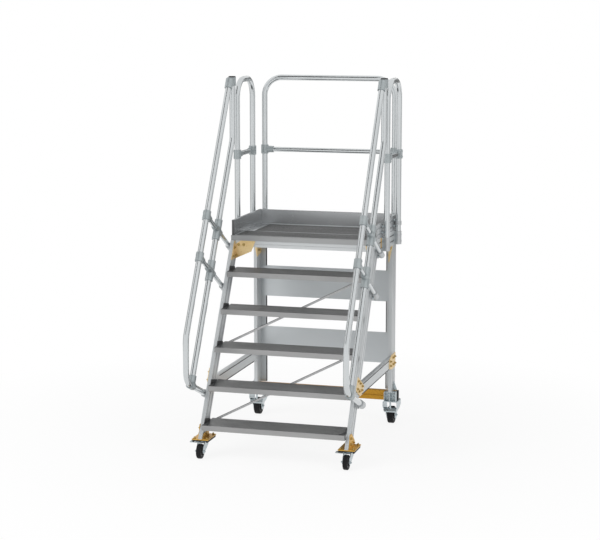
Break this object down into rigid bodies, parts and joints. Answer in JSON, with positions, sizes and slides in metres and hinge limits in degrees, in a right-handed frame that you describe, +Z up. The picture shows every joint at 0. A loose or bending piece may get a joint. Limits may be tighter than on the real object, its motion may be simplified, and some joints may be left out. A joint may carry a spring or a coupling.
{
  "type": "mobile platform stairs",
  "caption": "Wheeled aluminium platform stairs with a steep flight of ribbed steps, bent-tube handrails and a railed work platform.",
  "frame": {"origin": "on the floor, in the middle of the outline seen from above", "axes": "+X to the right side seen from the foot of the stairs, +Y back from the stairs towards the platform, +Z up"},
  "size_m": [1.1612, 1.6295, 2.5228],
  "materials": {
    "aluminium_profile": "satin anodised extrusion",
    "aluminium_tube": "polished tube",
    "tread_aluminium": "dark ribbed extrusion",
    "toe_board": "dark smooth extrusion",
    "panel_sheet": "pale smooth sheet",
    "cast_grey": "matt casting",
    "yellow_zinc": "yellow passivated steel",
    "crossbeam_gold": "orange gold satin",
    "zinc_steel": "pale zinc plated",
    "black_plastic": "matt black",
    "tyre_rubber": "black rubber",
    "wheel_hub": "dark grey"
  },
  "bodies": {
    "frame": {"back_guardrail": "aluminium_tube", "back_midrail": "aluminium_tube", "board_plates": "yellow_zinc", "crossbeam_caps": "black_plastic", "deck_plank_front": "tread_aluminium", "deck_plank_rear": "tread_aluminium", "front_castor_heads": "zinc_steel", "front_castor_pads": "black_plastic", "front_castor_plates": "yellow_zinc", "guardrail_clamps": "cast_grey", "handrail_arms": "aluminium_tube", "handrail_caps": "black_plastic", "handrail_clamps": "cast_grey", "handrail_feet": "cast_grey", "handrail_left": "aluminium_tube", "handrail_right": "aluminium_tube", "handrail_top_joints": "cast_grey", "knee_rail_left": "aluminium_tube", "knee_rail_right": "aluminium_tube", "leg_foot_brackets": "zinc_steel", "leg_gussets": "yellow_zinc", "leg_left": "aluminium_profile", "leg_right": "aluminium_profile", "platform_front_beam": "tread_aluminium", "platform_rear_beam": "aluminium_profile", "platform_side_left": "aluminium_profile", "platform_side_right": "aluminium_profile", "post_sockets": "cast_grey", "rear_axles": "zinc_steel", "rear_castor_forks": "zinc_steel", "rear_crossbeam": "crossbeam_gold", "rear_panels": "panel_sheet", "side_boards": "aluminium_profile", "side_guardrail_left": "aluminium_tube", "side_guardrail_right": "aluminium_tube", "side_midrails": "aluminium_tube", "stair_braces": "zinc_steel", "stair_gussets": "yellow_zinc", "step_1": "tread_aluminium", "step_2": "tread_aluminium", "step_3": "tread_aluminium", "step_4": "tread_aluminium", "step_5": "tread_aluminium", "stringer_left": "aluminium_profile", "stringer_right": "aluminium_profile", "toe_board_back": "toe_board", "toe_boards_side": "toe_board"},
    "front_fork_left": {"front_fork_left": "zinc_steel", "front_axle_left": "zinc_steel"},
    "front_fork_right": {"front_fork_right": "zinc_steel", "front_axle_right": "zinc_steel"},
    "front_wheel_left": {"front_hub_left": "wheel_hub", "front_tyre_left": "tyre_rubber"},
    "front_wheel_right": {"front_hub_right": "wheel_hub", "front_tyre_right": "tyre_rubber"},
    "rear_wheel_left": {"rear_hub_left": "wheel_hub", "rear_tyre_left": "tyre_rubber"},
    "rear_wheel_right": {"rear_hub_right": "wheel_hub", "rear_tyre_right": "tyre_rubber"}
  },
  "joints": [
    {"name": "front_swivel_left", "type": "hinge", "parent": "frame", "child": "front_fork_left", "pos_m": [-0.5075, -0.57476, 0.103], "axis": [0, 0, 1], "continuous": true},
    {"name": "front_wheel_spin_left", "type": "hinge", "parent": "front_fork_left", "child": "front_wheel_left", "pos_m": [-0.5075, -0.63476, 0.05], "axis": [1, 0, 0], "continuous": true},
    {"name": "rear_wheel_spin_left", "type": "hinge", "parent": "frame", "child": "rear_wheel_left", "pos_m": [-0.5075, 0.68006, 0.0625], "axis": [1, 0, 0], "continuous": true},
    {"name": "front_swivel_right", "type": "hinge", "parent": "frame", "child": "front_fork_right", "pos_m": [0.5075, -0.57476, 0.103], "axis": [0, 0, 1], "continuous": true},
    {"name": "front_wheel_spin_right", "type": "hinge", "parent": "front_fork_right", "child": "front_wheel_right", "pos_m": [0.5075, -0.63476, 0.05], "axis": [1, 0, 0], "continuous": true},
    {"name": "rear_wheel_spin_right", "type": "hinge", "parent": "frame", "child": "rear_wheel_right", "pos_m": [0.5075, 0.68006, 0.0625], "axis": [1, 0, 0], "continuous": true}
  ]
}
